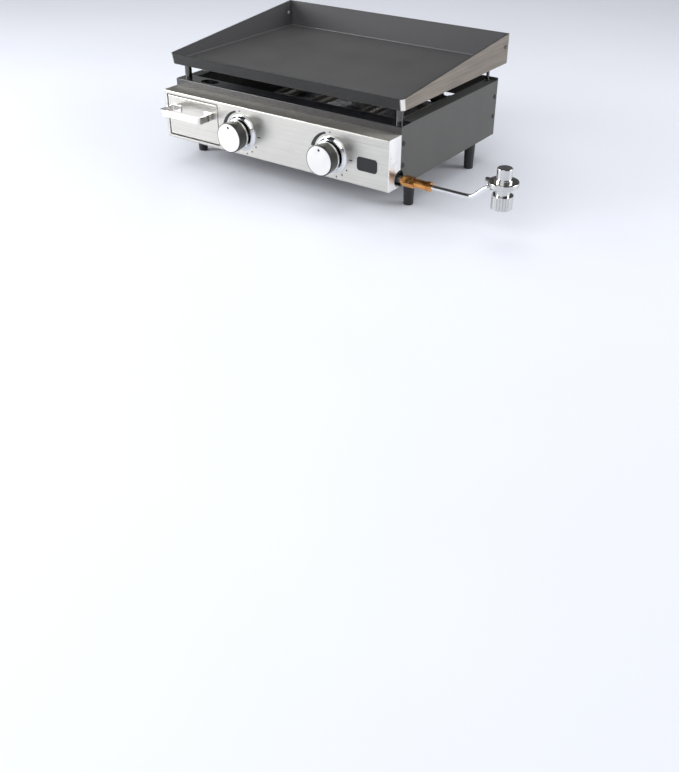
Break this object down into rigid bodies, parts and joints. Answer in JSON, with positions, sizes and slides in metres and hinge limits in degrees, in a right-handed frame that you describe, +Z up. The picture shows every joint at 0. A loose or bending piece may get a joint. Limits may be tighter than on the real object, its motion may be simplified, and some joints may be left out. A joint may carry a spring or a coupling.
{
  "type": "flat top griddle",
  "caption": "Table-top gas griddle: lift-off steel cooking plate with a splash wall, stainless control panel with turning knobs, grease drawer, gas line and regulator.",
  "frame": {"origin": "on the surface that the legs stand on, under the middle of the cooking plate", "axes": "+X to the cook's right, towards the gas line; -Y towards the cook; +Z up"},
  "size_m": [0.7936, 0.473, 0.2535],
  "materials": {
    "coated_steel": "dark non-stick coating on rolled steel, satin",
    "rivet_steel": "plain steel rivet",
    "plated_steel": "zinc plated steel",
    "powder_coat": "dark grey powder coat, fine texture",
    "stove_enamel": "black stove enamel, glossy",
    "stainless": "stainless steel, brushed along its length",
    "bright_sheet": "mill finish sheet",
    "burner_stainless": "stainless tube",
    "badge_dark": "plain dark plaque",
    "leg_black": "moulded black plastic",
    "manifold_steel": "steel pipe",
    "valve_alloy": "die-cast aluminium",
    "brass": "turned brass",
    "chrome": "polished chrome plate",
    "knob_grey": "dark metallic grey",
    "cap_satin": "satin aluminium disc",
    "ceramic": "white ceramic",
    "regulator_metal": "nickel plated zinc casting"
  },
  "bodies": {
    "cabinet": {"back_panel": "powder_coat", "badge_plate": "badge_dark", "bezel_left": "chrome", "bezel_right": "chrome", "burner_left": "burner_stainless", "burner_rest": "bright_sheet", "burner_right": "burner_stainless", "control_panel": "stainless", "crossover_tube": "burner_stainless", "drawer_guide_left": "bright_sheet", "drawer_guide_right": "bright_sheet", "firebox_wall": "stove_enamel", "floor_pan": "stove_enamel", "front_ledge": "stove_enamel", "gas_tube": "chrome", "heat_reflector": "bright_sheet", "igniter_left": "ceramic", "igniter_right": "ceramic", "inlet_collar": "brass", "inlet_nut": "brass", "inlet_sleeve": "brass", "leg_back_left": "leg_black", "leg_back_right": "leg_black", "leg_front_left": "leg_black", "leg_front_right": "leg_black", "leg_screws": "plated_steel", "manifold_pipe": "manifold_steel", "orifice_left": "brass", "orifice_right": "brass", "panel_screws": "plated_steel", "regulator_body": "regulator_metal", "regulator_bonnet": "regulator_metal", "side_panel_left": "powder_coat", "side_panel_right": "powder_coat", "tube_nut": "chrome", "valve_body_left": "valve_alloy", "valve_body_right": "valve_alloy", "vent_plug": "regulator_metal", "venturi_left": "burner_stainless", "venturi_right": "burner_stainless"},
    "plate": {"griddle_plate": "coated_steel", "back_splash": "coated_steel", "splash_rivets": "rivet_steel", "plate_feet": "plated_steel"},
    "drawer": {"drawer_front": "stainless", "grease_tray": "bright_sheet", "drawer_handle": "stainless", "handle_rivets": "rivet_steel"},
    "plug_left": {"valve_plug_left": "brass"},
    "plug_right": {"valve_plug_right": "brass"},
    "knob_left": {"valve_stem_left": "brass", "knob_left": "knob_grey", "knob_ring_left": "chrome", "knob_cap_left": "cap_satin"},
    "knob_right": {"valve_stem_right": "brass", "knob_right": "knob_grey", "knob_ring_right": "chrome", "knob_cap_right": "cap_satin"},
    "coupling": {"coupling_nut": "regulator_metal"}
  },
  "joints": [
    {"name": "plate_lift", "type": "slide", "parent": "cabinet", "child": "plate", "axis": [0, 0, 1], "range_m": [0, 0.08]},
    {"name": "drawer_slide", "type": "slide", "parent": "cabinet", "child": "drawer", "axis": [0, -1, 0], "range_m": [0, 0.075]},
    {"name": "knob_left_turn", "type": "hinge", "parent": "cabinet", "child": "plug_left", "pos_m": [-0.07, -0.2, 0.0995], "axis": [0, -1, 0], "range_deg": [0, 200]},
    {"name": "knob_left_push", "type": "slide", "parent": "plug_left", "child": "knob_left", "axis": [0, 1, 0], "range_m": [0, 0.004], "stiffness_N_per_m": 900, "springref_m": -0.004},
    {"name": "knob_right_turn", "type": "hinge", "parent": "cabinet", "child": "plug_right", "pos_m": [0.148, -0.2, 0.0995], "axis": [0, -1, 0], "range_deg": [0, 200]},
    {"name": "knob_right_push", "type": "slide", "parent": "plug_right", "child": "knob_right", "axis": [0, 1, 0], "range_m": [0, 0.004], "stiffness_N_per_m": 900, "springref_m": -0.004},
    {"name": "coupling_turn", "type": "hinge", "parent": "cabinet", "child": "coupling", "pos_m": [0.485, -0.1956, 0.075], "axis": [0, 0, 1], "continuous": true}
  ]
}
